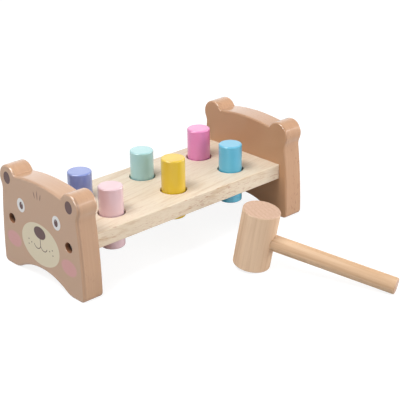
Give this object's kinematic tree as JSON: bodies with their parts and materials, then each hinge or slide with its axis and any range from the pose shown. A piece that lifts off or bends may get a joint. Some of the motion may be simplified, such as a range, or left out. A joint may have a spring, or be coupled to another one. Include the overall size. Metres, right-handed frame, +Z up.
{
  "type": "peg pounding bench",
  "caption": "Wooden toy pounding bench: a plank between end panels sawn as bear heads, with coloured pegs held in its holes and a wooden mallet lying in front.",
  "frame": {"origin": "on the surface the set stands on, under the middle of the box that holds bench and mallet", "axes": "+X along the bench from the face panel to the rear panel, +Y from the mallet towards the bench, +Z up"},
  "size_m": [0.253, 0.2728, 0.091],
  "materials": {
    "panel_paint": "matt paint",
    "bare_pine": "bare planed",
    "periwinkle_paint": "satin paint",
    "light_pink_paint": "satin paint",
    "mint_paint": "satin paint",
    "yellow_paint": "satin paint",
    "magenta_paint": "satin paint",
    "blue_paint": "satin paint",
    "rubber": "matt",
    "screw_steel": "zinc plated",
    "bare_beech": "bare sanded"
  },
  "bodies": {
    "bench": {"face_panel": "panel_paint", "rear_panel": "panel_paint", "plank": "bare_pine", "face_panel_screws": "screw_steel", "rear_panel_screws": "screw_steel", "periwinkle_ring": "rubber", "light_pink_ring": "rubber", "mint_ring": "rubber", "yellow_ring": "rubber", "magenta_ring": "rubber", "blue_ring": "rubber"},
    "periwinkle_peg": {"periwinkle_peg": "periwinkle_paint"},
    "light_pink_peg": {"light_pink_peg": "light_pink_paint"},
    "mint_peg": {"mint_peg": "mint_paint"},
    "yellow_peg": {"yellow_peg": "yellow_paint"},
    "magenta_peg": {"magenta_peg": "magenta_paint"},
    "blue_peg": {"blue_peg": "blue_paint"},
    "mallet": {"mallet_head": "bare_beech", "mallet_handle": "bare_beech"}
  },
  "joints": [
    {"name": "periwinkle_peg_slide", "type": "slide", "parent": "bench", "child": "periwinkle_peg", "axis": [0, 0, 1], "range_m": [-0.0215, 0.0145]},
    {"name": "light_pink_peg_slide", "type": "slide", "parent": "bench", "child": "light_pink_peg", "axis": [0, 0, 1], "range_m": [-0.021, 0.015]},
    {"name": "mint_peg_slide", "type": "slide", "parent": "bench", "child": "mint_peg", "axis": [0, 0, 1], "range_m": [-0.022, 0.014]},
    {"name": "yellow_peg_slide", "type": "slide", "parent": "bench", "child": "yellow_peg", "axis": [0, 0, 1], "range_m": [-0.0265, 0.0095]},
    {"name": "magenta_peg_slide", "type": "slide", "parent": "bench", "child": "magenta_peg", "axis": [0, 0, 1], "range_m": [-0.025, 0.011]},
    {"name": "blue_peg_slide", "type": "slide", "parent": "bench", "child": "blue_peg", "axis": [0, 0, 1], "range_m": [-0.021, 0.015]},
    {"name": "mallet_lift", "type": "slide", "parent": "bench", "child": "mallet", "axis": [0, 0, 1], "range_m": [0, 0.15]}
  ]
}
